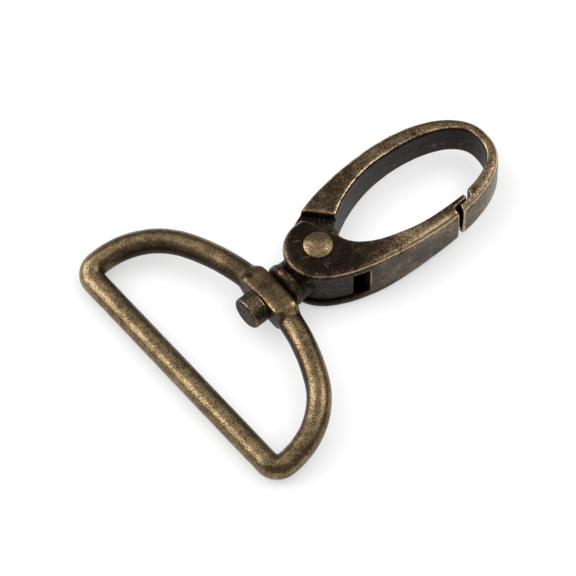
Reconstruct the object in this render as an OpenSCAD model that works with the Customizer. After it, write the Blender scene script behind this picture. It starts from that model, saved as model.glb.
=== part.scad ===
// Swivel snap hook: an oval spring-gate hook that turns on a headed stud in a D-ring.
// X runs along the stud toward the nose of the hook, Y points to the fixed arm, Z is up.
// It lies as it rests: the hook on its cheek, the ring's bar on the same surface, at Z = 0.

/* [D-ring] */
// Clear width inside the ring, which is the strap width
ring_inner_w = 38; // [34:0.5:45]
// Thickness of the ring's round bar
bar_d = 3.6; // [3:0.1:3.7]
// Distance from the bar's centre line to the boss, as a share of the clear width
reach_share = 0.436; // [0.435:0.005:0.5]
// Radius of the shallow curve over the top, as a share of the clear width
top_share = 0.81; // [0.8:0.01:0.86]
// Radius of each shoulder, as a share of the clear width
shoulder_share = 0.32; // [0.3:0.005:0.33]
// Bend radius of the two bar corners
ring_corner_r = 1.9; // [1.85:0.05:2]
// Length of the boss along the stud
boss_l = 3.9; // [3.4:0.1:4.6]
// Width of the boss along the ring
boss_w = 8.4; // [7.6:0.2:9.4]
// Thickness of the boss
boss_t = 4.5; // [4.2:0.1:5.2]

/* [Swivel stud] */
// Diameter of the stud's shank
stud_d = 2.8; // [2.4:0.1:3]
// Diameter of the stud's button head
stud_head_d = 4.8; // [4.2:0.1:5.6]
// Length of the button head
stud_head_l = 2.5; // [1.6:0.1:3.2]
// Depth that the shank is pressed into the neck
stud_grip = 3.2; // [2.4:0.1:3.3]

/* [Hook body] */
// Thickness of the hook over its two cheeks
hook_t = 9.1; // [8.8:0.1:10]
// Thickness of the plate between the cheeks
hub_t = 5.5; // [5:0.1:5.7]
// Half of the hook's width over arm and gate
hook_half_w = 8.5; // [8.3:0.1:9.2]
// Distance from the pivot to the middle of the oval
oval_x = 16.4; // [15.8:0.1:17.5]
// Reach of the outline from the oval's middle back to the neck
oval_back = 21.3; // [21:0.1:21.6]
// Reach of the outline from the oval's middle to the nose
oval_front = 14.5; // [14.2:0.1:15.5]
// Reach of the eye from the oval's middle back to the pivot
eye_back = 13; // [12.6:0.1:13.2]
// Reach of the eye from the oval's middle to the nose
eye_front = 12.7; // [11.8:0.1:12.9]
// Half width of the eye on the arm's side
eye_arm_w = 5.8; // [5.4:0.1:6]
// Half width of the eye on the gate's side
eye_gate_w = 6.2; // [5.8:0.1:6.3]
// Share by which the arm swells toward its root
arm_swell = 0.3; // [0.2:0.02:0.36]
// Thickness of the arm at its root
arm_root_t = 8.4; // [8:0.1:8.6]
// Thickness of the arm at its slimmest
arm_waist_t = 6.3; // [5.8:0.1:7]
// Thickness at the nose
nose_t = 7.2; // [6.6:0.1:7.8]
// Thickness at the gate's free end
gate_end_t = 6.5; // [6.2:0.1:7.2]
// Radius of the neck
neck_r = 3.3; // [3.1:0.1:3.6]
// Radius of the rounded outer edges on the upper face
edge_r = 0.9; // [0.5:0.05:1]
// Radius of the outer edges on the lower face
under_r = 1.2; // [0.5:0.05:1.3]
// Radius of the crisp inner edges of the upper face
rim_r = 0.3; // [0.2:0.05:0.5]
// Radius of the inner edges of the lower face
under_rim_r = 0.65; // [0.2:0.05:0.7]

/* [Gate] */
// Radius of the cheeks round the pivot
cheek_r = 4.95; // [4.85:0.05:5]
// Radius of the plate round the pivot
hub_r = 4.5; // [4.3:0.05:4.55]
// Place of the gate's shoulder under the nose lip
shoulder_x = 19; // [18.4:0.1:19.6]
// Length of the tongue past the shoulder
tongue_l = 2.6; // [2:0.1:2.8]
// Thickness of the nose lip that covers the tongue
lip_t = 1.15; // [0.9:0.05:1.3]
// Place of the solid end wall behind the window
window_x = 3.65; // [3.5:0.05:4]
// How far the tail of the plate reaches into the window
tail_x = 1.45; // [1:0.05:1.6]

/* [Pivot rivet and spring] */
// Diameter of the rivet's shank
rivet_d = 2.3; // [2:0.1:2.5]
// Diameter of the rivet's domed head
rivet_head_d = 4.25; // [3.8:0.05:4.4]
// Height of the dome
rivet_dome = 0.75; // [0.5:0.05:0.9]
// Diameter of the flared end in its countersink
rivet_flare_d = 3.6; // [3.2:0.1:3.8]
// Depth of the countersink
rivet_flare_h = 0.7; // [0.5:0.05:0.8]
// Spring wire
spring_wire = 0.45; // [0.35:0.05:0.5]
// Mean radius of the spring's coil
spring_r = 1.85; // [1.75:0.05:1.95]
// Turns in the coil
spring_turns = 3; // [2:1:3]

/* [Fits] */
// Radial running clearance of the stud and the rivet
run_gap = 0.06; // [0.03:0.01:0.09]
// Gap between faces that slide past each other
face_gap = 0.12; // [0.08:0.01:0.2]
// Gap past the ends of the gate's tongue and shoulder
gate_gap = 0.4; // [0.3:0.05:0.5]
// Gap between the tongue and the lip that it shuts against
lip_gap = 0.2; // [0.15:0.05:0.3]

/* [Hidden] */
// Small overlap, overrun of a cut past a face, and a length past all the metal
eps = 0.02;
over = 1;
far = 20;
brass = [0.47, 0.4, 0.28];
dark_brass = [0.33, 0.28, 0.21];
bright_brass = [0.6, 0.53, 0.38];
steel = [0.55, 0.55, 0.53];

// Heights
half_t = hook_t / 2;
half_hub = hub_t / 2;
bar_r = bar_d / 2;
ring_reach = reach_share * ring_inner_w;
ring_top_r = top_share * ring_inner_w;
ring_shoulder_r = shoulder_share * ring_inner_w;

// The ring hangs from the stud until its bar meets the surface
ring_drop = asin((half_t - bar_r) / ring_reach);
ring_half_w = ring_inner_w / 2 + bar_r;

// Places along the stud, from the pivot
neck_back = -(cheek_r + face_gap + 1.6);
boss_x = neck_back - face_gap - boss_l / 2;
bar_x = boss_x - ring_reach * cos(ring_drop);
head_x = boss_x - boss_l / 2 - face_gap;
tip_x = oval_x + oval_front;

// The origin sits under the middle of the whole hook
mid_x = (tip_x + bar_x - bar_r) / 2;

// Outlines of the hook, both ovals in four quarters of their own fullness
function full(v, n) = sign(v) * pow(abs(v), 2 / n);
function pick(t, fa, ba, bg, fg) = sin(t) >= 0 ? (cos(t) >= 0 ? fa : ba) : (cos(t) >= 0 ? fg : bg);
function outer_pt(t) =
    let (n = pick(t, 2, 2, 2.25, 2.4))
    [oval_x + (cos(t) < 0 ? oval_back : oval_front) * full(cos(t), n), hook_half_w * full(sin(t), n)];
function swell(t) = (cos(t) < 0 && sin(t) > 0) ? 1 - arm_swell * pow(cos(t), 2) : 1;
function eye_pt(t) =
    let (n = pick(t, 2.15, 2, 2.05, 2.7))
    [oval_x + (cos(t) < 0 ? eye_back : eye_front) * full(cos(t), n),
     (sin(t) > 0 ? eye_arm_w : eye_gate_w) * swell(t) * full(sin(t), n)];

// Thickness of arm and gate along their length
function arm_t_at(t) = lookup(t, [[-70, nose_t], [10, arm_waist_t], [80, arm_waist_t], [135, arm_root_t]]);
function gate_t_at(t) = lookup(-t, [[70, gate_end_t], [118, hook_t], [180, hook_t]]);

// Rounded section from the eye's edge (s = 0) out to the outline (s = w)
function corner(cs, cz, r, a0, n) = [for (i = [0:n])
    let (a = a0 + 90 * i / n)
    [cs + r * cos(a), cz + r * sin(a)]];
function section(w, h) =
    let (er = min(edge_r, 0.55 * w), ur = min(under_r, 0.6 * w), ir = min(under_rim_r, 0.35 * w))
    concat(
        corner(w - er, h / 2 - er, er, 0, 4),
        corner(rim_r, h / 2 - rim_r, rim_r, 90, 2),
        corner(ir, -h / 2 + ir, ir, 180, 2),
        corner(w - ur, -h / 2 + ur, ur, 270, 4)
    );
function ring_at(p, q, h) =
    let (d = p - q, w = norm(d), u = d / w)
    [for (s = section(w, h)) [q[0] + u[0] * s[0], q[1] + u[1] * s[0], s[1]]];

// Solid swept through rings that all have the same number of points
module swept(rings) {
    count = len(rings);
    m = len(rings[0]);
    sides = [for (i = [0:count - 2], j = [0:m - 1])
        [i * m + j, i * m + (j + 1) % m, (i + 1) * m + (j + 1) % m, (i + 1) * m + j]];
    start = [for (j = [0:m - 1]) m - 1 - j];
    finish = [for (j = [0:m - 1]) (count - 1) * m + j];
    polyhedron(points = [for (r = rings, p = r) p], faces = concat(sides, [start], [finish]));
}

// Everything is modelled about the pivot, then set down on the surface
module placed() translate([-mid_x, 0, half_t]) children();

// Cylinder along X from x0 to x1
module rod_x(x0, x1, r, fn = 64) {
    translate([x0, 0, 0])
        rotate([0, 90, 0]) cylinder(h = x1 - x0, r = r, $fn = fn);
}

// D-ring
// Centre of the shoulder arc, which meets the top arc inside
rise = sqrt(pow(ring_top_r - ring_shoulder_r, 2) - pow(ring_half_w - ring_shoulder_r, 2));
top_c = ring_reach - ring_top_r;
side_x = top_c + rise;
side_y = ring_half_w - ring_shoulder_r;
corner_y = ring_half_w - ring_corner_r;
tangent = atan2(side_y, rise);

// Stations of an arc: place and outward direction
function arc(cx, cy, r, a0, a1, n) = [for (i = [0:n])
    let (a = a0 + (a1 - a0) * i / n)
    [cx + r * cos(a), cy + r * sin(a), a]];

// Once round the ring; the straight bar and the straight sides are the long steps between arcs
ring_path = concat(
    arc(ring_corner_r, -corner_y, ring_corner_r, -180, -90, 10),
    arc(side_x, -side_y, ring_shoulder_r, -90, -tangent, 14),
    arc(top_c, 0, ring_top_r, -tangent, tangent, 22),
    arc(side_x, side_y, ring_shoulder_r, tangent, 90, 14),
    arc(ring_corner_r, corner_y, ring_corner_r, 90, 180, 10)
);

module ring_wire() {
    sides = 20;
    count = len(ring_path);
    points = [for (p = ring_path, j = [0:sides - 1])
        let (b = 360 * j / sides)
        [p[0] + bar_r * cos(b) * cos(p[2]), p[1] + bar_r * cos(b) * sin(p[2]), bar_r * sin(b)]];
    faces = [for (i = [0:count - 1], j = [0:sides - 1])
        let (a = i * sides, b = (i + 1) % count * sides, k = (j + 1) % sides)
        [a + j, a + k, b + k, b + j]];
    polyhedron(points = points, faces = faces);
}

// How far the wire has swollen into the boss, at a distance y from the middle
boss_blend = 1.5;
boss_end = boss_w / 2 + boss_blend / 2;
boss_square = 4.6;
boss_sides = 28;
function boss_share(y) =
    let (f = min(1, max(0, (boss_end - abs(y)) / boss_blend)))
    f * f * (3 - 2 * f);
function boss_at(a) =
    let (f = boss_share(ring_top_r * sin(a)), n = 2 + (boss_square - 2) * f, start = bar_r - eps,
        hw = start + (boss_l / 2 + face_gap - start) * f, hh = start + (boss_t / 2 - start) * f,
        drop = ring_top_r * (1 - cos(a)) * sin(ring_drop))
    [for (j = [0:boss_sides - 1])
        let (b = 360 * j / boss_sides, r = ring_top_r + hw * full(cos(b), n))
        [r * cos(a) - ring_top_r, r * sin(a), hh * full(sin(b), n) - drop]];

// Swelling of the wire round the bore, faced flat toward the stud's head and the collar
module ring_boss() {
    steps = 13;
    span = asin((boss_end + 0.1) / ring_top_r);
    intersection() {
        swept([for (i = [-steps:steps]) boss_at(span * i / steps)]);
        cube([boss_l, 3 * boss_w, 3 * boss_t], center = true);
    }
}

module d_ring() {
    color(brass)
        placed()
            translate([boss_x, 0, 0])
                difference() {
                    union() {
                        rotate([0, -ring_drop, 0])
                            translate([-ring_reach, 0, 0]) ring_wire();
                        ring_boss();
                    }
                    rod_x(-boss_l, boss_l, stud_d / 2 + run_gap);
                }
}

// Swivel stud
module swivel_stud() {
    head_r = stud_head_d / 2;
    bevel = 0.45;
    color(bright_brass)
        placed()
            rotate([0, 90, 0])
                rotate_extrude($fn = 64)
                    union() {
                        square_at(0, head_x - stud_head_l + bevel, head_r, stud_head_l - bevel);
                        square_at(0, head_x - stud_head_l, head_r - bevel, stud_head_l);
                        translate([head_r - bevel, head_x - stud_head_l + bevel])
                            circle(r = bevel, $fn = 24);
                        square_at(0, head_x - eps, stud_d / 2, neck_back + stud_grip - head_x + eps);
                    }
}

module square_at(x, y, w, h) translate([x, y]) square([w, h]);

// Hook frame: plate, neck, fixed arm and nose
plate_run_x = 6.6;
plate_run_y = 2;
tail_y = 6;
tail_inset = 0.4;

module plate_outline() {
    steps = 40;
    circle(r = hub_r, $fn = 96);
    // Root of the arm, round the back of the pivot
    intersection() {
        difference() {
            polygon([for (i = [0:steps]) outer_pt(180 * i / steps)]);
            polygon([for (i = [0:2 * steps]) eye_pt(180 * i / steps)]);
        }
        polygon([[-far, 0], [1.2 * hub_r, 0], [plate_run_x, plate_run_y], [plate_run_x, far], [-far, far]]);
    }
    // Tail that fills the channel between the cheeks, up to the window
    intersection() {
        polygon([for (i = [0:steps])
            let (p = outer_pt(180 + 90 * i / steps))
            p + tail_inset * [1 - i / steps, 1]]);
        polygon([[0, 0], [-far, 0], [-far, -far], [tail_x * far / tail_y, -far]]);
    }
}

module arm_solid() {
    from = -80;
    to = 172;
    steps = 56;
    swept([for (i = [0:steps])
        let (t = from + (to - from) * i / steps)
        ring_at(outer_pt(t), eye_pt(t), arm_t_at(t))]);
}

// Ends of the straight edge where the arm steps down to the plate, at the outline and at the eye
step_out = [1.9, 6.2];
step_in = [5.5, 2.1];

// Space that the frame leaves free over and under the plate, for the cheeks
module cheek_space() {
    run = step_in - step_out;
    a = step_out - 2 * run;
    b = step_in + 0.6 * run;
    linear_extrude(height = far, center = true)
        polygon([a, b, [b[0], -far], [-far, -far], [-far, far], [a[0], far]]);
}

// Line that parts the lip of the nose from the gate's tongue
part_slope = 6;
part_y = lip_t - hook_half_w;
tongue_x = shoulder_x + tongue_l;
shoulder_r = norm([shoulder_x, hook_half_w]);
tongue_r = norm([tongue_x, part_y + tongue_l * tan(part_slope)]);

// Everything on the inner side of that line, moved inward by a step
module inside_part(step) {
    translate([shoulder_x, part_y + step, -far / 2])
        rotate([0, 0, part_slope])
            translate([-far, 0, 0]) cube([2 * far, far, far]);
}

// The half of space on the gate's side of the stud
module gate_side() translate([-far, -far, -far / 2]) cube([3 * far, far, far]);

// The nose ends on circles about the pivot, so the gate swings clear of it
module nose_cut() {
    intersection() {
        cylinder(h = far, r = shoulder_r + gate_gap, center = true, $fn = 160);
        gate_side();
    }
    intersection() {
        cylinder(h = far, r = tongue_r + gate_gap, center = true, $fn = 160);
        inside_part(0);
        gate_side();
    }
}

module hook_frame() {
    color(dark_brass)
        placed()
            difference() {
                union() {
                    linear_extrude(height = hub_t, center = true) plate_outline();
                    difference() {
                        arm_solid();
                        cheek_space();
                        nose_cut();
                    }
                    neck();
                }
                // Bore for the rivet, pocket for the spring, and the bore for the stud
                cylinder(h = hub_t + over, r = rivet_d / 2, center = true, $fn = 64);
                spring_pocket();
                rod_x(neck_back - over, neck_back + stud_grip, stud_d / 2);
            }
}

module neck() {
    bevel = 0.35;
    collar = 1.3;
    collar_step = 0.25;
    rotate([0, 90, 0])
        rotate_extrude($fn = 72)
            polygon([[0, neck_back], [neck_r - bevel, neck_back], [neck_r, neck_back + bevel],
                [neck_r, neck_back + collar], [0, neck_back + collar]]);
    // Round root that runs on into the plate
    intersection() {
        rod_x(neck_back + collar / 2, -hub_r / 2, neck_r - collar_step, 72);
        translate([-far, -far, -half_hub]) cube([far, 2 * far, hub_t]);
    }
}

// Gate: two cheeks and a channel that opens outward, solid past the window
module gate_solid() {
    from = -179;
    to = -55;
    steps = 40;
    swept([for (i = [0:steps])
        let (t = from + (to - from) * i / steps)
        ring_at(outer_pt(t), eye_pt(t), gate_t_at(t))]);
}

// Place and slant of the cheeks' straight edge that faces the arm, and where the discs end
slant_x = 2.85;
slant_a = 19.5;
disc_y = -0.3;

module cheek_disc() {
    // Rounded disc, cut off along the slanting edge
    difference() {
        rotate_extrude($fn = 96)
            union() {
                square_at(0, -half_t, cheek_r - edge_r, hook_t);
                square_at(0, -half_t + edge_r, cheek_r, hook_t - 2 * edge_r);
                for (z = [-1, 1])
                    translate([cheek_r - edge_r, z * (half_t - edge_r)]) circle(r = edge_r, $fn = 32);
            }
        translate([slant_x, 0, -far / 2])
            rotate([0, 0, slant_a])
                translate([0, 10 * disc_y, 0]) cube([far, 2 * far, far]);
        translate([0, disc_y, 0]) gate_side();
    }
}

// Window in the gate's side: where its end wall starts to flare and where it meets the round channel
flare_y = -7.2;
flare = 0.125;
wall_y = -4.4;
rim_gap = 0.3;

module channel() {
    slot = hub_t + 2 * face_gap;
    flare_end = window_x + flare * (far + flare_y);
    linear_extrude(height = slot, center = true) {
        circle(r = hub_r + rim_gap, $fn = 96);
        polygon([[-far, 0], [-far, -far], [flare_end, -far],
            [window_x, flare_y], [window_x, wall_y], [0, 0]]);
        translate([-far, disc_y]) square([2 * far, far]);
    }
}

module gate() {
    bevel_l = rivet_flare_h + face_gap;
    color(brass)
        placed()
            difference() {
                union() {
                    difference() {
                        gate_solid();
                        shoulder_cut();
                    }
                    cheek_disc();
                }
                channel();
                cylinder(h = hook_t + over, r = rivet_d / 2 + run_gap, center = true, $fn = 64);
                // Countersink for the rivet's flared end
                translate([0, 0, -half_t - eps])
                    cylinder(h = bevel_l, r1 = rivet_flare_d / 2 + face_gap,
                        r2 = rivet_d / 2 + run_gap, $fn = 64);
                // Hole in the end wall that takes the spring's leg
                spring_hole();
            }
}

module shoulder_cut() {
    difference() {
        translate([shoulder_x + far, 0, 0]) gate_side();
        intersection() {
            translate([tongue_x - 2 * far, 0, 0]) gate_side();
            inside_part(lip_gap);
        }
    }
}

// Pivot rivet: domed head on the upper cheek, flared end flush in the lower one
module pivot_rivet() {
    r = rivet_d / 2;
    head_r = rivet_head_d / 2;
    seat = half_t + face_gap / 2;
    rim = 0.22;
    ball = (pow(head_r, 2) + pow(rivet_dome - rim, 2)) / (2 * (rivet_dome - rim));
    color(bright_brass)
        placed()
            union() {
                translate([0, 0, -half_t + 0.1]) cylinder(h = seat + half_t, r = r, $fn = 64);
                translate([0, 0, -half_t + 0.1])
                    cylinder(h = rivet_flare_h, r1 = rivet_flare_d / 2, r2 = r, $fn = 64);
                translate([0, 0, seat])
                    intersection() {
                        cylinder(h = rivet_dome, r = head_r, $fn = 64);
                        translate([0, 0, rivet_dome - ball]) sphere(r = ball, $fn = 128);
                    }
            }
}

// Torsion spring round the rivet, one leg in the plate and one in the gate's end wall
coil_pitch = spring_wire * 1.15;
coil_z0 = -0.55;
pocket_r = spring_r + spring_wire / 2 + 0.25;
pocket_z = coil_z0 - spring_wire / 2 - 0.15;
leg_start = 15;
leg_z = coil_z0 + coil_pitch * spring_turns;
leg_bend = [window_x - 0.75, -4.7];
leg_end = [window_x + 1, -5.2];
anchor_a = 160;
anchor_out = spring_r + 1.5;

module spring_pocket() {
    // Round pocket that opens under the upper cheek, with a notch and a fan-shaped way out for the legs
    translate([0, 0, pocket_z]) cylinder(h = half_hub - pocket_z + over, r = pocket_r, $fn = 64);
    translate([0, 0, coil_z0])
        rotate([0, 0, anchor_a])
            translate([0, -0.35, -0.35]) cube([anchor_out + 0.2, 0.7, half_hub + 2]);
    translate([0, 0, leg_z - 0.4])
        linear_extrude(height = half_hub + 2)
            polygon([[0, 0.8], [1.6, -0.9], [1.9, -7], [5.5, -7], [6.5, 0.8]]);
}

module spring_hole() {
    run = leg_end - leg_bend;
    translate([leg_bend[0], leg_bend[1], leg_z])
        rotate([0, 0, atan2(run[1], run[0])])
            rod_x(0, norm(run) + 0.3, spring_wire / 2 + 0.15, 32);
}

function spring_path() = concat(
    [[anchor_out * cos(anchor_a), anchor_out * sin(anchor_a), coil_z0],
     [(spring_r + 0.25) * cos(anchor_a), (spring_r + 0.25) * sin(anchor_a), coil_z0]],
    [for (i = [1:round(24 * coil_sweep / 360)])
        let (f = i / round(24 * coil_sweep / 360), a = anchor_a + f * coil_sweep)
        [spring_r * cos(a), spring_r * sin(a), coil_z0 + f * (leg_z - coil_z0)]],
    [[leg_bend[0], leg_bend[1], leg_z], [leg_end[0], leg_end[1], leg_z]]
);
coil_sweep = 360 * spring_turns + leg_start - anchor_a;

function unit(v) = v / norm(v);
function path_dir(path, i) =
    let (a = i == 0 ? 0 : i - 1, b = i == len(path) - 1 ? i : i + 1)
    unit(path[b] - path[a]);

module gate_spring() {
    path = spring_path();
    sides = 8;
    color(steel)
        placed()
            swept([for (i = [0:len(path) - 1])
                let (d = path_dir(path, i), side = unit(cross(d, [0, 0, 1])), up = cross(side, d))
                [for (j = [0:sides - 1])
                    let (a = 360 * j / sides)
                    path[i] + spring_wire / 2 * (cos(a) * side + sin(a) * up)]]);
}

d_ring();
swivel_stud();
hook_frame();
gate();
pivot_rivet();
gate_spring();
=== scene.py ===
import math

import bmesh
import bpy
import numpy as np
from mathutils import Matrix, Vector


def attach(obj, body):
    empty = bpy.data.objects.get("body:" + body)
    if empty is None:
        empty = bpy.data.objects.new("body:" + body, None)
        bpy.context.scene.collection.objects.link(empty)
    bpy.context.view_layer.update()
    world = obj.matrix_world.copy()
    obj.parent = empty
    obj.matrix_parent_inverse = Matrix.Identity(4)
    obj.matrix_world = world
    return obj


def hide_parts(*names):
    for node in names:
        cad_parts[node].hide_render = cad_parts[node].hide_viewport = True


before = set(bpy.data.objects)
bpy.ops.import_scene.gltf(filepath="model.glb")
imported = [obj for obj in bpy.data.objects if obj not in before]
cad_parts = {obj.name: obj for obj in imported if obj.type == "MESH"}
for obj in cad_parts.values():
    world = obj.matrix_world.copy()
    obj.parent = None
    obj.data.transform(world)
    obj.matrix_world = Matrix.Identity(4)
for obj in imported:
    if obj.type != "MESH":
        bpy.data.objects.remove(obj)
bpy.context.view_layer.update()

MM = 0.001
# The gate's pivot. The rules for wear, soot and painted light and shade measure in millimetres from
# here.
PIVOT = Vector((-2.011, 0.0, 4.55)) * MM

# Smoothing steps that leave the near shape, the far shape and the dents
NEAR_STEPS = 6
FAR_STEPS = 24
DENT_STEPS = 45
# Bulge in millimetres of a full edge, and dip of a full hollow
EDGE_FULL = 0.07
HOLLOW_FULL = 0.06
# Bulge in millimetres at which an edge starts to shine, and over which it turns bright
RIDGE_MIN = 0.006
RIDGE_SPAN = 0.018
# Usual depth of the dents in millimetres, and how many times that the deepest are
DENT = 0.014
DENT_MOST = 2.5

# Outline of hook and gate: an oval, longer toward the pivot than toward the nose
OVAL_X = 16.4
OVAL_BACK = 21.3
OVAL_FRONT = 14.5
OVAL_HALF_W = 8.5
OVAL_POWER = 2.2
# Middle of the eye
EYE = (15.5, -0.3)
# Line inside the ring that its arch bends round
ARCH_X = -22.8
ARCH_HALF_W = 8.6
# Pit beside the bore, and dark spot on the boss
PIT_X = -9.6
PIT_Y = 3.6
SPOT_Y = 6.4

# Places where a fade starts and ends. Along the part:
UNDER_BOSS = (-14.5, -12.5)
BOSS = (-13, -11)
SHANK = (-10.9, -10.6)
COLLAR_END = (-5.6, -5.2)
NECK_END = (-4.6, -3.8)
WINDOW_END = (3.4, 3.8)
ARM_ROOT = (5, 17)
CHEEK = (1, 14)
GATE_END = (9, 15)
TONGUE = (18.6, 19.2)
BEND = (19, 28)
# Out from the pivot, and up or down from the middle of the hook's thickness:
PLATE_R = (6.0, 8.0)
PLATE_SIDE = (2.9, 3.3)
CHANNEL_SIDE = (2.8, 2.95)
WINDOW_SIDE = (3.1, 3.4)
RIVET_HEAD = (4.3, 4.7)


def added(name, data):
    """A new object in the scene."""
    obj = bpy.data.objects.new(name, data)
    bpy.context.scene.collection.objects.link(obj)
    return obj


# Fine meshes: each casting is a close copy of its CAD solid, with soft cast edges
def smoothed(co, edges, steps):
    """Moves each point halfway to the middle of its neighbours, step by step."""
    n = len(co)
    a, b = edges[:, 0], edges[:, 1]
    degree = np.maximum(np.bincount(a, minlength=n) + np.bincount(b, minlength=n), 1)[:, None]
    for _ in range(steps):
        total = np.stack([
            np.bincount(a, co[b, k], minlength=n) + np.bincount(b, co[a, k], minlength=n)
            for k in range(3)], 1)
        co = co + 0.5 * (total / degree - co)
    return co


def spread(values, edges, steps):
    """The same smoothing for one value at each point."""
    return smoothed(values[:, None].repeat(3, 1), edges, steps)[:, 0]


def coords(mesh):
    co = np.empty(len(mesh.vertices) * 3)
    mesh.vertices.foreach_get("co", co)
    return co.reshape(-1, 3)


def edge_pairs(mesh):
    pairs = np.empty(len(mesh.edges) * 2, dtype=np.int64)
    mesh.edges.foreach_get("vertices", pairs)
    return pairs.reshape(-1, 2)


def normals(mesh):
    out = np.empty(len(mesh.vertices) * 3)
    mesh.vertex_normals.foreach_get("vector", out)
    return out.reshape(-1, 3)


def put(mesh, name, values):
    layer = mesh.attributes.new(name, "FLOAT", "POINT")
    layer.data.foreach_set("value", np.asarray(values, dtype=np.float32))


def dented(co, edges, outward, seed):
    """Shallow dents, always inward, as tumbling leaves them."""
    rough = np.random.default_rng(seed).normal(size=len(co))
    rough = spread(rough, edges, DENT_STEPS)
    rough = np.clip(rough / rough.std(), 0, DENT_MOST)
    return co - outward * (DENT * rough)[:, None]


def remeshed(node, name, voxel):
    """An object with an even, fine mesh of a CAD node, in millimetres."""
    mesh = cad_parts[node].data.copy()
    mesh.transform(Matrix.Scale(1 / MM, 4))
    bm = bmesh.new()
    bm.from_mesh(mesh)
    bmesh.ops.remove_doubles(bm, verts=bm.verts, dist=1e-4)
    bm.to_mesh(mesh)
    bm.free()
    obj = added(name, mesh)
    mod = obj.modifiers.new("fine", "REMESH")
    mod.mode = "VOXEL"
    mod.voxel_size = voxel
    bpy.context.view_layer.update()
    shape = obj.evaluated_get(bpy.context.evaluated_depsgraph_get())
    done = bpy.data.meshes.new_from_object(shape)
    obj.modifiers.clear()
    obj.data = done
    done.name = name
    done.materials.clear()
    return obj


def fine(node, name, voxel, rounding, body, seed):
    """A fine copy of a CAD node, with attributes for its worn edges and its hollows."""
    obj = remeshed(node, name, voxel)
    mesh = obj.data
    edges = edge_pairs(mesh)
    co = smoothed(coords(mesh), edges, rounding)
    near = smoothed(co, edges, NEAR_STEPS)
    far = smoothed(co, edges, FAR_STEPS)
    mesh.vertices.foreach_set("co", co.ravel())
    mesh.update()
    outward = normals(mesh)
    bulge = ((co - far) * outward).sum(1)
    ridge = ((co - near) * outward).sum(1)
    put(mesh, "edge", np.clip(bulge / EDGE_FULL, 0, 1))
    put(mesh, "ridge", np.clip((ridge - RIDGE_MIN) / RIDGE_SPAN, 0, 1))
    put(mesh, "hollow", np.clip(spread(-bulge, edges, NEAR_STEPS) / HOLLOW_FULL, 0, 1))
    mesh.vertices.foreach_set("co", dented(co, edges, outward, seed).ravel())
    mesh.transform(Matrix.Scale(MM, 4))
    mesh.polygons.foreach_set("use_smooth", [True] * len(mesh.polygons))
    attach(obj, body)
    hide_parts(node)
    return obj


ring = fine("d_ring", "ring_cast", 0.15, 4, "ring", 1)
stud = fine("swivel_stud", "stud_turned", 0.1, 3, "hook", 2)
body = fine("hook_frame", "hook_cast", 0.14, 9, "hook", 3)
gate = fine("gate", "gate_cast", 0.13, 8, "gate", 4)
rivet = fine("pivot_rivet", "rivet_dome", 0.08, 3, "hook", 5)


# Rules for wear, soot, painted shade and painted highlight. Each takes the points p, in millimetres
# from the pivot, and their normals n, and gives an amount for each point. A fade over a normal runs
# between two shares of 1.
def rise(v, lo, hi):
    """0 up to lo, 1 from hi on, and smooth between them."""
    t = np.clip((v - lo) / (hi - lo), 0, 1)
    return t * t * (3 - 2 * t)


def fall(v, lo, hi):
    """1 up to lo, 0 from hi on, and smooth between them."""
    return 1 - rise(v, lo, hi)


def none(p, n):
    return np.zeros(len(p))


def upright(n):
    """1 on faces that stand upright."""
    return rise(1 - np.abs(n[:, 2]), 0.35, 0.75)


def outline_share(p):
    """0 at the middle of the oval and 1 on its outline."""
    reach = np.where(p[:, 0] < OVAL_X, OVAL_BACK, OVAL_FRONT)
    along = np.abs(p[:, 0] - OVAL_X) / reach
    across = np.abs(p[:, 1]) / OVAL_HALF_W
    return (along ** OVAL_POWER + across ** OVAL_POWER) ** (1 / OVAL_POWER)


def toward_eye(p, n):
    """1 on the walls that look into the eye of the hook."""
    inward = np.array(EYE) - p[:, :2]
    inward /= np.linalg.norm(inward, axis=1)[:, None]
    return rise((inward * n[:, :2]).sum(1), 0.25, 0.6)


def eye_wall_soot_and_shade(p, n):
    """Near black on the walls round the eye, dark patina with painted shade. A little less on their
    lower half and lower edge, a painted reflection of the pale floor.
    """
    lower_edge = rise(-n[:, 2], 0.08, 0.45)
    lower_half = rise(-p[:, 2], -0.1, 0.6)
    return toward_eye(p, n) * (1 - 0.25 * lower_edge) * (1 - 0.1 * lower_half)


def rim(p, n):
    """1 on the rounded upper edges that face away from the eye: partly the rubbing of the tumbling,
    partly a painted highlight where these edges catch the light.
    """
    x = p[:, 0]
    crest = n[:, 2] - 0.12 * rise(x, 4, 10)
    upper = rise(n[:, 2], 0.22, 0.45) * fall(crest, 0.6, 0.87)
    return upper * (1 - toward_eye(p, n)) * (0.65 + 0.35 * rise(x, -3, 1))


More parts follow.
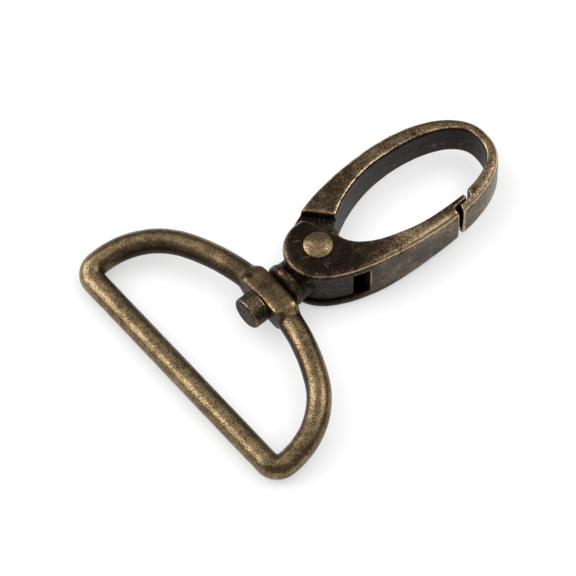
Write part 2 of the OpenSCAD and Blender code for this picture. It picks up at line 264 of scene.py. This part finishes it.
def ring_soot_and_shade(p, n):
    """Painted shade on the inner side of the wire, most of all round the arch, and under the boss; a
    little darker on the arch's right side; a darker tone, a dark spot and a pit on the boss.
    """
    x, y = p[:, 0], p[:, 1]
    centre = np.stack([np.full(len(p), ARCH_X), np.clip(y, -ARCH_HALF_W, ARCH_HALF_W)], 1)
    inward = centre - p[:, :2]
    inward /= np.linalg.norm(inward, axis=1)[:, None] + 1e-6
    faces_in = (inward * n[:, :2]).sum(1)
    arch = rise(x, ARCH_X - 1, ARCH_X + 3)
    on_boss = rise(x, *BOSS)
    # Painted shade on the wire's inner side
    wire = 0.9 * arch * rise(faces_in, 0.62, 1.0) + 0.6 * (1 - arch) * rise(n[:, 0], 0.25, 0.9)
    right_side = 0.22 * rise(-y, 7, 10) * arch
    boss = (0.12 + 0.46 * rise(y, -2, 1)) * fall(np.abs(y), 5.5, 9) * on_boss
    spot = 0.4 * fall(np.abs(y - SPOT_Y), 0.6, 2.2) * on_boss
    pit = 0.92 * fall(np.hypot(x - PIT_X, (y - PIT_Y) * 0.8), 0.35, 0.8)
    # Painted shade on the faces under the boss
    under_boss = 0.9 * rise(-n[:, 2], -0.15, 0.25) * fall(np.abs(y), 6.5, 9.5) * rise(x, *UNDER_BOSS)
    return np.maximum.reduce([wire + right_side * (1 - wire), boss, spot, pit, under_boss])


def stud_soot_and_shade(p, n):
    """Dark shank and dark end face, a dark tone all over, and painted shade on the underside."""
    shank = rise(p[:, 0], *SHANK)
    face = 0.9 * rise(-n[:, 0], 0.6, 0.9)
    # Painted shade on the underside, over a dark tone all over
    under = 0.3 + 0.5 * rise(-n[:, 2], -0.4, 0.3)
    return np.maximum.reduce([shank, face, under])


def rivet_shade(p, n):
    """Painted shade: all dark below the head, in the gap under it."""
    return fall(p[:, 2], *RIVET_HEAD)


def body_soot_and_shade(p, n):
    """Dark on the neck and the arm's root, painted shade on the hub plate between the cheeks, patina
    and painted shade on the walls round the eye, and a little painted shade on upright walls.
    """
    x, y, z = p.T
    # Painted shade on the hub plate between the gate's cheeks
    plate = 0.8 * fall(np.hypot(x, y), *PLATE_R) * fall(np.abs(z), *PLATE_SIDE)
    neck = fall(x, *NECK_END) * (0.72 - 0.12 * rise(x, *COLLAR_END))
    root = 0.34 * fall(x, *ARM_ROOT) * rise(y, 0, 2)
    # Eye walls: patina and painted shade; upright walls: a little painted shade
    return np.maximum.reduce([plate, neck, root, eye_wall_soot_and_shade(p, n), 0.3 * upright(n)])


def gate_soot_and_shade(p, n):
    """Painted shade in the channel, on the lower cheek and on the tongue; a dark tone on both cheeks
    and the gate's end; patina and painted shade along the eye; a little painted shade on upright walls.
    """
    x, y, z = p.T
    # Painted shade in the channel between the cheeks
    inside = fall(np.abs(z), *CHANNEL_SIDE) * fall(x, *WINDOW_END)
    toward_edge = rise(outline_share(p), 0.7, 0.95) * rise(x, 1, 7)
    cheek = 0.9 * fall(x, *CHEEK) * (1 - 0.4 * toward_edge) * (1 - 0.75 * rim(p, n))
    # Painted shade on the lower cheek, under the hub
    lower_cheek = 0.85 * fall(z, -3.2, -2.6) * fall(x, 6, 12)
    # Painted shade on the tongue, in the gap behind the nose
    tongue = 0.7 * rise(x, *TONGUE)
    end = 0.72 * rise(x, *GATE_END) * (1 - toward_edge)
    # Eye walls: patina and painted shade; upright walls: a little painted shade
    parts = [inside, cheek, lower_cheek, tongue, end, eye_wall_soot_and_shade(p, n), 0.3 * upright(n)]
    return np.maximum.reduce(parts)


def body_dull(p, n):
    """Edges that stay dull: the collar, the step under the arm and, in part, the eye's edge."""
    return np.maximum(0.75 * fall(p[:, 0], 2, 9), 0.5 * toward_eye(p, n))


def gate_dull(p, n):
    """Dull along the eye, round the window but for its end wall, and on the whole lower cheek."""
    x, y, z = p.T
    window = fall(x, 2.9, 3.4) * fall(np.abs(z), *WINDOW_SIDE)
    lower_cheek = 0.85 * fall(z, -2.6, 0) * fall(x, 3, 9)
    return np.maximum.reduce([0.85 * toward_eye(p, n), window, lower_cheek])


def body_rub_and_sheen(p, n):
    """The bend and the nose are brighter than the arm, but less on the arm's side of the bend: partly
    rubbed wear, partly a painted highlight on the nose.
    """
    x, y = p[:, 0], p[:, 1]
    return 0.36 * rise(x, *BEND) - 0.3 * rise(x, 21, 25) * rise(y, -1, 3)


def gate_sheen(p, n):
    """Painted highlight: the gate's upper face is painted brighter toward its outer edge, where its
    curved face would catch the light.
    """
    x = p[:, 0]
    upper = rise(n[:, 2], 0.6, 0.9) * rise(x, -2, 7)
    return (0.45 - 0.2 * rise(x, *GATE_END)) * rise(outline_share(p), 0.9, 0.99) * upper


def field(obj, name, rule):
    """Stores what a rule gives, from 0 to 1 at each point."""
    co = (coords(obj.data) / MM) - np.array(PIVOT / MM)
    put(obj.data, name, np.clip(rule(co, normals(obj.data)), 0, 1))


# The soot field holds soot and painted shade, the rim field rubbed wear and painted highlight, the rub
# field wear and, on the gate and the nose, painted highlight
for piece, *rules in (
        (ring, ring_soot_and_shade, none, none, none),
        (stud, stud_soot_and_shade, none, none, none),
        (body, body_soot_and_shade, rim, body_dull, body_rub_and_sheen),
        (gate, gate_soot_and_shade, rim, gate_dull, gate_sheen),
        (rivet, rivet_shade, none, none, none)):
    for key, rule in zip(("soot_and_shade", "rim", "dull", "rub"), rules):
        field(piece, key, rule)


# Materials
def material(name):
    mat = bpy.data.materials.new(name)
    mat.use_nodes = True
    tree = mat.node_tree
    tree.nodes.clear()
    return mat, tree


class Graph:
    """Short ways to add nodes to a shader tree. A value is a number, a colour or a socket."""

    def __init__(self, tree):
        self.tree = tree

    def node(self, kind):
        return self.tree.nodes.new(kind)

    def feed(self, socket, value):
        if isinstance(value, bpy.types.NodeSocket):
            self.tree.links.new(value, socket)
        else:
            socket.default_value = value

    def math(self, op, a, b, clamp=False):
        n = self.node("ShaderNodeMath")
        n.operation = op
        n.use_clamp = clamp
        self.feed(n.inputs[0], a)
        self.feed(n.inputs[1], b)
        return n.outputs[0]

    def add(self, first, *others):
        for other in others:
            first = self.math("ADD", first, other)
        return first

    def less(self, a, b):
        return self.math("SUBTRACT", a, b)

    def times(self, a, b):
        return self.math("MULTIPLY", a, b)

    def most(self, first, *others):
        for other in others:
            first = self.math("MAXIMUM", first, other)
        return first

    def centred(self, value, weight):
        """A noise about 0, times its weight."""
        return self.times(self.less(value, 0.5), weight)

    def noise(self, where, scale, detail, rough, stretch=None):
        if stretch:
            m = self.node("ShaderNodeMapping")
            self.feed(m.inputs["Vector"], where)
            m.inputs["Scale"].default_value = stretch
            where = m.outputs[0]
        n = self.node("ShaderNodeTexNoise")
        self.feed(n.inputs["Vector"], where)
        n.inputs["Scale"].default_value = scale
        n.inputs["Detail"].default_value = detail
        n.inputs["Roughness"].default_value = rough
        return n.outputs[0]

    def scratches(self, where, turn, squeeze):
        """Short fine scratches that run one way, longer where squeeze is smaller."""
        m = self.node("ShaderNodeMapping")
        self.feed(m.inputs["Vector"], where)
        m.inputs["Rotation"].default_value = (0, 0, turn)
        fibre = self.noise(m.outputs[0], 3000, 1, 0.4, (squeeze, 1, 0.5))
        return self.step(fibre, 0.7, 0.76)

    def step(self, value, lo, hi):
        n = self.node("ShaderNodeMapRange")
        n.interpolation_type = "SMOOTHSTEP"
        self.feed(n.inputs["Value"], value)
        n.inputs["From Min"].default_value = lo
        n.inputs["From Max"].default_value = hi
        return n.outputs[0]

    def mix(self, share, a, b):
        n = self.node("ShaderNodeMix")
        n.data_type = "RGBA"
        self.feed(n.inputs[0], share)
        self.feed(n.inputs[6], a)
        self.feed(n.inputs[7], b)
        return n.outputs[2]

    def attribute(self, name):
        n = self.node("ShaderNodeAttribute")
        n.attribute_name = name
        return n.outputs["Fac"]

    def object_place(self):
        return self.node("ShaderNodeTexCoord").outputs["Object"]


def rgb(r, g, b):
    """A colour written as in a picture, 0 to 255, in the linear values that shaders take."""
    def lin(c):
        c /= 255
        return c / 12.92 if c <= 0.04045 else ((c + 0.055) / 1.055) ** 2.4
    return (lin(r), lin(g), lin(b), 1.0)


DARK = rgb(42, 32, 24)
MID = rgb(97, 81, 61)
BRASS = rgb(155, 137, 109)
BRIGHT = rgb(198, 177, 143)
COPPER = rgb(138, 98, 72)
# Colour of soot and of painted shade
SOOT_AND_SHADE = rgb(20, 15, 12)
RING_BRIGHT = rgb(182, 160, 124)
RING_COLOURS = (rgb(58, 45, 33), rgb(107, 90, 66), rgb(150, 130, 98), RING_BRIGHT)
STUD_COLOURS = (DARK, rgb(92, 77, 62), BRASS, BRIGHT)
HOOK_COLOURS = (DARK, MID, BRASS, BRIGHT)
RIVET_COLOURS = (rgb(70, 56, 40), rgb(120, 101, 75), rgb(160, 139, 104), RING_BRIGHT)

# Noises of the plating: scale for a metre, detail, roughness and, for one, a stretch
NOISES = {
    "cloud": (170, 3, 0.5),
    "mottle": (420, 3, 0.55),
    "patch": (700, 4, 0.6),
    "streak": (1500, 3, 0.6, (0.3, 1, 1)),
    "pits": (3600, 2, 0.6),
    "grain": (4200, 2, 0.6),
    "dust": (9000, 2, 0.5)}
# What counts in the rubbing, with its painted highlight and shade: the noises, and the places from the
# rules above
COARSE = {"cloud": 1.0, "mottle": 0.9, "patch": 0.6, "streak": 0.35}
FINE = {"grain": 2.0, "dust": 2.5}
EDGE_RUB = 0.38
EXTRA_RUB_AND_SHEEN = 0.5
HOLLOW_KEEPS = 0.6
SOOT_AND_SHADE_KEEPS = 0.55
# How far soot and painted shade hide the fine grains, and the shine of an edge
SOOT_AND_SHADE_ON_GRAINS = 0.45
SOOT_AND_SHADE_ON_SHINE = 0.6
# How far the rubbing goes for the dark skin to turn brown, and for the brown to turn brass
BROWN_FROM, BROWN_FULL = -0.05, 0.75
BRASS_FROM, BRASS_FULL = 0.5, 1.1
# How worn an edge is when it turns coppery, and then bright
COPPER_FROM, COPPER_FULL = 0.15, 0.45
BRIGHT_FROM, BRIGHT_FULL = 0.35, 0.8
# Turn in radians and squeeze of each set of scratches, and how much they show
SCRATCHES = ((0.5, 0.14), (-0.7, 0.11), (1.7, 0.17))
SCRATCH_SHARE = 0.24
BUMP_STRENGTH = 0.28
BUMP_DEPTH = 0.00003


def antique(name, colours, rub, edge, rough, shift):
    """Antique brass plate: a dark brown skin, rubbed through in fine grains and along the edges."""
    dark, mid, brass, bright = colours
    mat, tree = material(name)
    g = Graph(tree)
    moved = g.node("ShaderNodeMapping")
    moved.inputs["Location"].default_value = (shift, shift * 1.7, shift * 0.6)
    g.feed(moved.inputs["Vector"], g.object_place())
    where = moved.outputs[0]
    noise = {key: g.noise(where, *values) for key, values in NOISES.items()}
    hollow = g.attribute("hollow")
    soot_and_shade = g.attribute("soot_and_shade")

    # How far the tumbling rubbed here, with painted highlight and shade: more on the edges and where
    # the gate and nose are painted brighter, less in the hollows, the soot and the painted shade
    coarse = g.add(*[g.centred(noise[key], weight) for key, weight in COARSE.items()])
    grains = g.add(*[g.centred(noise[key], weight) for key, weight in FINE.items()])
    grains = g.times(grains, g.less(1.0, g.times(soot_and_shade, SOOT_AND_SHADE_ON_GRAINS)))
    rubbed_and_lit = g.add(coarse, grains, rub)
    rubbed_and_lit = g.add(rubbed_and_lit, g.times(g.attribute("edge"), EDGE_RUB * edge))
    # The rub field is wear, and on the gate's face and the nose also a painted highlight
    rubbed_and_lit = g.add(rubbed_and_lit, g.times(g.attribute("rub"), EXTRA_RUB_AND_SHEEN))
    rubbed_and_lit = g.less(rubbed_and_lit, g.times(hollow, HOLLOW_KEEPS))
    rubbed_and_lit = g.less(rubbed_and_lit, g.times(soot_and_shade, SOOT_AND_SHADE_KEEPS))
    colour = g.mix(g.step(rubbed_and_lit, BROWN_FROM, BROWN_FULL), dark, mid)
    fleck = g.step(rubbed_and_lit, BRASS_FROM, BRASS_FULL)
    colour = g.mix(fleck, colour, brass)

    # Worn edges, coppery first and then bright; the rim's share of this bright is partly a painted
    # highlight
    patch, grain = noise["patch"], noise["grain"]
    ridge = g.times(g.most(g.attribute("ridge"), g.attribute("rim")), g.less(1.0, g.attribute("dull")))
    worn_and_lit = g.add(ridge, g.add(g.centred(patch, 1.7), g.centred(grain, 1.5)))
    copper = g.math("MULTIPLY", g.step(worn_and_lit, COPPER_FROM, COPPER_FULL), edge * 0.6, clamp=True)
    colour = g.mix(copper, colour, COPPER)
    shine = g.math("MULTIPLY", g.step(worn_and_lit, BRIGHT_FROM, BRIGHT_FULL), edge, clamp=True)
    shine = g.math("MULTIPLY", shine, g.less(1.0, g.times(soot_and_shade, SOOT_AND_SHADE_ON_SHINE)), clamp=True)
    colour = g.mix(shine, colour, bright)

    # Pits, soot with painted shade, and scratches
    pits = g.step(noise["pits"], 0.6, 0.7)
    colour = g.mix(g.times(pits, 0.65), colour, dark)
    # Near black from soot and from painted shade, and dark patina in the hollows
    black = g.times(g.times(soot_and_shade, soot_and_shade), 0.88)
    grime = g.math("ADD", g.times(hollow, 0.8), black, clamp=True)
    colour = g.mix(grime, colour, SOOT_AND_SHADE)
    scratch = g.most(*[g.scratches(where, turn, squeeze) for turn, squeeze in SCRATCHES])
    colour = g.mix(g.times(scratch, SCRATCH_SHARE), colour, brass)

    shell = g.node("ShaderNodeBsdfPrincipled")
    g.feed(shell.inputs["Base Color"], colour)
    g.feed(shell.inputs["Metallic"], g.less(0.95, g.times(grime, 0.35)))
    shell.inputs["Specular IOR Level"].default_value = 0.1
    polish = g.add(g.times(fleck, 0.08), g.times(shine, 0.1))
    uneven = g.less(g.add(g.centred(patch, 0.2), rough), polish)
    g.feed(shell.inputs["Roughness"], g.math("ADD", uneven, g.times(grime, 0.12), clamp=True))
    bump = g.node("ShaderNodeBump")
    bump.inputs["Strength"].default_value = BUMP_STRENGTH
    bump.inputs["Distance"].default_value = BUMP_DEPTH
    height = g.add(g.times(grain, 0.6), g.times(patch, 0.8))
    g.feed(bump.inputs["Height"], g.less(height, g.times(pits, 0.4)))
    g.feed(shell.inputs["Normal"], bump.outputs[0])
    out = g.node("ShaderNodeOutputMaterial")
    g.feed(out.inputs["Surface"], shell.outputs[0])
    return mat


# Each row: the piece, its material, colours, rub, edge wear, roughness and shift of the noise in metres
for piece, *values in (
        (ring, "ring_brass", RING_COLOURS, 0.62, 0.4, 0.34, 0.013),
        (stud, "stud_brass", STUD_COLOURS, 0.5, 0.9, 0.42, 0.027),
        (body, "hook_brass", HOOK_COLOURS, 0.52, 1.0, 0.38, 0.041),
        (gate, "gate_brass", HOOK_COLOURS, 0.5, 1.0, 0.38, 0.059),
        (rivet, "rivet_brass", RIVET_COLOURS, 0.58, 0.5, 0.4, 0.083)):
    piece.data.materials.append(antique(*values))


def steel():
    """Plain steel wire, a little uneven."""
    mat, tree = material("spring_steel")
    g = Graph(tree)
    shell = g.node("ShaderNodeBsdfPrincipled")
    grain = g.noise(g.object_place(), 1800, 3, 0.6)
    g.feed(shell.inputs["Base Color"], g.mix(grain, rgb(120, 118, 112), rgb(168, 166, 160)))
    g.feed(shell.inputs["Roughness"], g.add(0.25, g.times(grain, 0.25)))
    shell.inputs["Metallic"].default_value = 1.0
    g.feed(g.node("ShaderNodeOutputMaterial").inputs["Surface"], shell.outputs[0])
    return mat


spring_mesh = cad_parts["gate_spring"].data.copy()
spring_mesh.materials.clear()
spring_mesh.materials.append(steel())
spring = added("spring_wire", spring_mesh)
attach(spring, "hook")
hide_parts("gate_spring")


FLOOR_HALF = 1.5
FLOOR_GREY = 0.22
FLOOR_GLOW = 0.88
# How dark the floor turns right under the metal, and within how many metres of it
CLOSE_SHADOW = 0.5
SHADOW_REACH = 0.005
SHADOW_SAMPLES = 12


def make_floor():
    """Pale floor: white to the camera and in reflections, and it keeps the shadow."""
    mesh = bpy.data.meshes.new("floor")
    s = FLOOR_HALF
    mesh.from_pydata([(-s, -s, 0), (s, -s, 0), (s, s, 0), (-s, s, 0)], [], [(0, 1, 2, 3)])
    floor = added("floor", mesh)
    mat, tree = material("floor_white")
    g = Graph(tree)
    path = g.node("ShaderNodeLightPath")
    seen = g.most(*[path.outputs[f"Is {kind} Ray"] for kind in ("Camera", "Glossy", "Transmission")])
    diffuse = g.node("ShaderNodeBsdfDiffuse")
    diffuse.inputs["Color"].default_value = (FLOOR_GREY, FLOOR_GREY, FLOOR_GREY, 1)
    glow = g.node("ShaderNodeEmission")
    glow.inputs["Color"].default_value = (1, 1, 1, 1)
    near = g.node("ShaderNodeAmbientOcclusion")
    near.samples = SHADOW_SAMPLES
    near.inputs["Distance"].default_value = SHADOW_REACH
    open_share = g.add(1 - CLOSE_SHADOW, g.times(near.outputs["AO"], CLOSE_SHADOW))
    g.feed(glow.inputs["Strength"], g.times(g.times(seen, open_share), FLOOR_GLOW))
    total = g.node("ShaderNodeAddShader")
    g.feed(total.inputs[0], diffuse.outputs[0])
    g.feed(total.inputs[1], glow.outputs[0])
    g.feed(g.node("ShaderNodeOutputMaterial").inputs["Surface"], total.outputs[0])
    mesh.materials.append(mat)


make_floor()

# The camera's directions: level, 60 degrees above the surface, the hook's length turned 40 degrees
TURN = math.radians(40)
TILT = math.radians(60)
right = Vector((math.cos(TURN), -math.sin(TURN), 0))
up = Vector((math.sin(TURN) * math.sin(TILT), math.cos(TURN) * math.sin(TILT), math.cos(TILT)))
toward = right.cross(up)
back = Vector((math.sin(TURN), math.cos(TURN), 0))
above = Vector((0, 0, 1))

SKY = 0.25
world = bpy.data.worlds.new("studio")
bpy.context.scene.world = world
world.use_nodes = True
world.node_tree.nodes.clear()
g = Graph(world.node_tree)
sky = g.node("ShaderNodeBackground")
sky.inputs["Color"].default_value = (1, 1, 1, 1)
sky.inputs["Strength"].default_value = SKY
g.feed(g.node("ShaderNodeOutputWorld").inputs["Surface"], sky.outputs[0])

# Soft boxes that face the part: a dim one overhead, a low wide one on the left that makes the wire's
# bright band, and one on the right for the bright edges. Each row: metres back, right and up, width,
# height and watts.
for name, to_back, to_right, lift, width, height, power in (
        ("overhead", 0.15, 0, 0.92, 1.1, 1.1, 2.7),
        ("left", 0.135, -0.747, 0.45, 0.85, 0.76, 8.4),
        ("right", 0.225, 0.558, 0.63, 0.5, 0.5, 2.4)):
    light = bpy.data.lights.new(name, "AREA")
    light.shape = "RECTANGLE"
    light.size = width
    light.size_y = height
    light.energy = power
    lamp = added(name, light)
    lamp.location = back * to_back + right * to_right + above * lift
    lamp.rotation_euler = (-lamp.location).to_track_quat("-Z", "Y").to_euler()

# Camera: the photo is 576 pixels wide, with the pivot at (318, 262) and 7.13 pixels a millimetre
PHOTO = 576
PIVOT_U = 318
PIVOT_V = 262
PER_MM = 7.13
DISTANCE = 0.95
SENSOR = 36
aim = PIVOT + (right * ((PHOTO / 2 - PIVOT_U) / PER_MM) - up * ((PHOTO / 2 - PIVOT_V) / PER_MM)) * MM
lens = bpy.data.cameras.new("camera")
lens.sensor_width = SENSOR
lens.lens = SENSOR * PER_MM * (DISTANCE / MM) / PHOTO
lens.clip_start = 0.05
lens.clip_end = 10
camera = added("camera", lens)
facing = Matrix((right, up, toward)).transposed().to_4x4()
camera.matrix_world = Matrix.Translation(aim + toward * DISTANCE) @ facing
bpy.context.scene.camera = camera

bpy.context.scene.view_settings.view_transform = "Standard"
